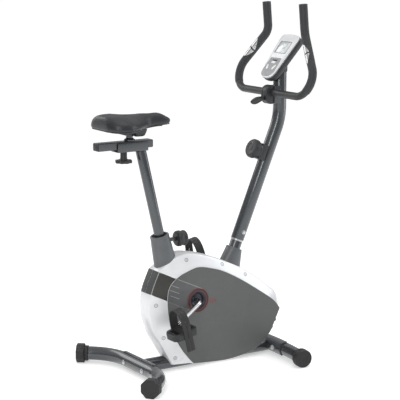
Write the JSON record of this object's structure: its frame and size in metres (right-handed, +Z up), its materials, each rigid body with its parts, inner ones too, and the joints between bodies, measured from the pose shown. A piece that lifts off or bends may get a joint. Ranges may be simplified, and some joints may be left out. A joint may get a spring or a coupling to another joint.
{
  "type": "upright exercise bike",
  "caption": "Upright exercise bike with covered belt-driven flywheel, strapped pedals, pinned sliding saddle, leaning mast, looped handlebar, tension knob and console.",
  "frame": {"origin": "on the floor, under the middle of the bike's bounding box", "axes": "+X towards the handlebar end, +Y to the rider's left, +Z up"},
  "size_m": [0.8544, 0.5852, 1.3264],
  "materials": {
    "frame_paint": "metallic gloss",
    "boot_plastic": "satin",
    "chrome": "polished",
    "iron": "as turned",
    "zinc": "zinc plated",
    "black_plastic": "fine grain",
    "rubber": "moulded",
    "cover_silver": "pearl",
    "panel_grey": "fine grain",
    "vinyl": "upholstery vinyl",
    "foam": "soft foam",
    "console_silver": "satin silver"
  },
  "bodies": {
    "frame": {"rear_stabilizer": "frame_paint", "front_stabilizer": "frame_paint", "rear_bracket": "frame_paint", "front_bracket": "frame_paint", "rear_bolt_left": "zinc", "rear_bolt_right": "zinc", "spine_tube": "frame_paint", "seat_tube": "frame_paint", "seat_bushing": "black_plastic", "crank_shell": "frame_paint", "mast_stub": "frame_paint", "right_cover": "cover_silver", "left_cover": "cover_silver", "right_side_panel": "panel_grey", "left_side_panel": "panel_grey", "seat_boot": "boot_plastic", "mast_boot": "boot_plastic", "crank_bearing_right": "zinc", "crank_bearing_left": "zinc", "flywheel_fork": "frame_paint", "drive_belt": "rubber", "magnet_pivot": "frame_paint", "mast": "frame_paint", "tension_box": "black_plastic", "tension_cable": "rubber", "handlebar_bracket": "frame_paint", "handlebar_clamp": "black_plastic", "console_housing": "black_plastic", "console_face": "console_silver"},
    "crank_set": {"crank": "chrome", "crank_pulley": "black_plastic"},
    "right_pedal_set": {"right_pedal": "black_plastic", "right_pedal_strap": "rubber"},
    "left_pedal_set": {"left_pedal": "black_plastic", "left_pedal_strap": "rubber"},
    "flywheel_set": {"flywheel": "iron", "flywheel_shaft": "zinc"},
    "brake_arm": {"magnet_arm": "zinc"},
    "tension_dial": {"tension_knob": "black_plastic"},
    "seat_post_set": {"seat_post": "frame_paint", "slider_channel": "frame_paint"},
    "saddle_set": {"slider_bar": "frame_paint", "saddle_stem": "frame_paint", "saddle_base": "black_plastic", "saddle_cushion": "vinyl"},
    "saddle_clamp": {"saddle_knob": "black_plastic"},
    "seat_pin": {"pop_pin": "black_plastic"},
    "handlebar": {"handlebar_tube": "foam", "right_grip": "foam", "left_grip": "foam", "right_pulse_sensor": "chrome", "left_pulse_sensor": "chrome"},
    "bar_lever": {"clamp_lever": "black_plastic"},
    "left_leveller": {"rear_leveller_left": "rubber"},
    "right_leveller": {"rear_leveller_right": "rubber"},
    "left_roller": {"front_roller_left": "rubber"},
    "right_roller": {"front_roller_right": "rubber"},
    "button_1": {"console_button_1": "console_silver"},
    "button_2": {"console_button_2": "console_silver"},
    "button_3": {"console_button_3": "console_silver"}
  },
  "joints": [
    {"name": "crank_spin", "type": "hinge", "parent": "frame", "child": "crank_set", "pos_m": [-0.041, 0, 0.26], "axis": [0, 1, 0], "continuous": true},
    {"name": "right_pedal_spin", "type": "hinge", "parent": "crank_set", "child": "right_pedal_set", "pos_m": [-0.16536, 0, 0.17612], "axis": [0, 1, 0], "continuous": true},
    {"name": "left_pedal_spin", "type": "hinge", "parent": "crank_set", "child": "left_pedal_set", "pos_m": [0.08336, 0, 0.34388], "axis": [0, 1, 0], "continuous": true},
    {"name": "flywheel_spin", "type": "hinge", "parent": "frame", "child": "flywheel_set", "pos_m": [0.195, 0, 0.178], "axis": [0, 1, 0], "continuous": true},
    {"name": "brake_swing", "type": "hinge", "parent": "frame", "child": "brake_arm", "pos_m": [0.12273, 0, 0.25826], "axis": [0, 1, 0], "range_deg": [-3.05, 0]},
    {"name": "tension_turn", "type": "hinge", "parent": "frame", "child": "tension_dial", "pos_m": [0.29874, 0, 0.76544], "axis": [-0.9205, 0, 0.3907], "range_deg": [0, 300]},
    {"name": "seat_height", "type": "slide", "parent": "frame", "child": "seat_post_set", "axis": [-0.2317, 0, 0.9728], "range_m": [-0.12, 0.1]},
    {"name": "saddle_slide", "type": "slide", "parent": "seat_post_set", "child": "saddle_set", "axis": [1, 0, 0], "range_m": [-0.04, 0.05]},
    {"name": "saddle_knob_turn", "type": "hinge", "parent": "seat_post_set", "child": "saddle_clamp", "pos_m": [-0.316, 0, 0.79], "axis": [0, 0, 1], "range_deg": [-180, 180]},
    {"name": "pin_pull", "type": "slide", "parent": "frame", "child": "seat_pin", "axis": [1, 0, 0], "range_m": [0, 0.012], "stiffness_N_per_m": 1500, "springref_m": -0.004},
    {"name": "handlebar_tilt", "type": "hinge", "parent": "frame", "child": "handlebar", "pos_m": [0.311, 0, 0.997], "axis": [0, 1, 0], "range_deg": [-30, 40]},
    {"name": "lever_turn", "type": "hinge", "parent": "frame", "child": "bar_lever", "pos_m": [0.282, 0, 0.978], "axis": [-0.9703, 0, -0.2419], "range_deg": [-90, 90]},
    {"name": "left_leveller_turn", "type": "hinge", "parent": "frame", "child": "left_leveller", "pos_m": [-0.33875, 0.24063, 0.034], "axis": [-0.7934, 0.6088, 0], "continuous": true},
    {"name": "right_leveller_turn", "type": "hinge", "parent": "frame", "child": "right_leveller", "pos_m": [-0.33875, -0.24063, 0.034], "axis": [-0.7934, -0.6088, 0], "continuous": true},
    {"name": "left_roller_spin", "type": "hinge", "parent": "frame", "child": "left_roller", "pos_m": [0.29851, 0.22688, 0.034], "axis": [-0.1494, 0.9888, 0], "continuous": true},
    {"name": "right_roller_spin", "type": "hinge", "parent": "frame", "child": "right_roller", "pos_m": [0.29851, -0.22688, 0.034], "axis": [-0.1494, -0.9888, 0], "continuous": true},
    {"name": "button_1_press", "type": "slide", "parent": "frame", "child": "button_1", "axis": [0.776, 0, -0.6307], "range_m": [0, 0.0015], "stiffness_N_per_m": 600, "springref_m": -0.0008},
    {"name": "button_2_press", "type": "slide", "parent": "frame", "child": "button_2", "axis": [0.776, 0, -0.6307], "range_m": [0, 0.0015], "stiffness_N_per_m": 600, "springref_m": -0.0008},
    {"name": "button_3_press", "type": "slide", "parent": "frame", "child": "button_3", "axis": [0.776, 0, -0.6307], "range_m": [0, 0.0015], "stiffness_N_per_m": 600, "springref_m": -0.0008}
  ],
  "couplings": [
    {"joint": "flywheel_spin", "follows": "crank_spin", "ratio": 7.1429},
    {"joint": "brake_swing", "follows": "tension_turn", "ratio": -0.01}
  ]
}
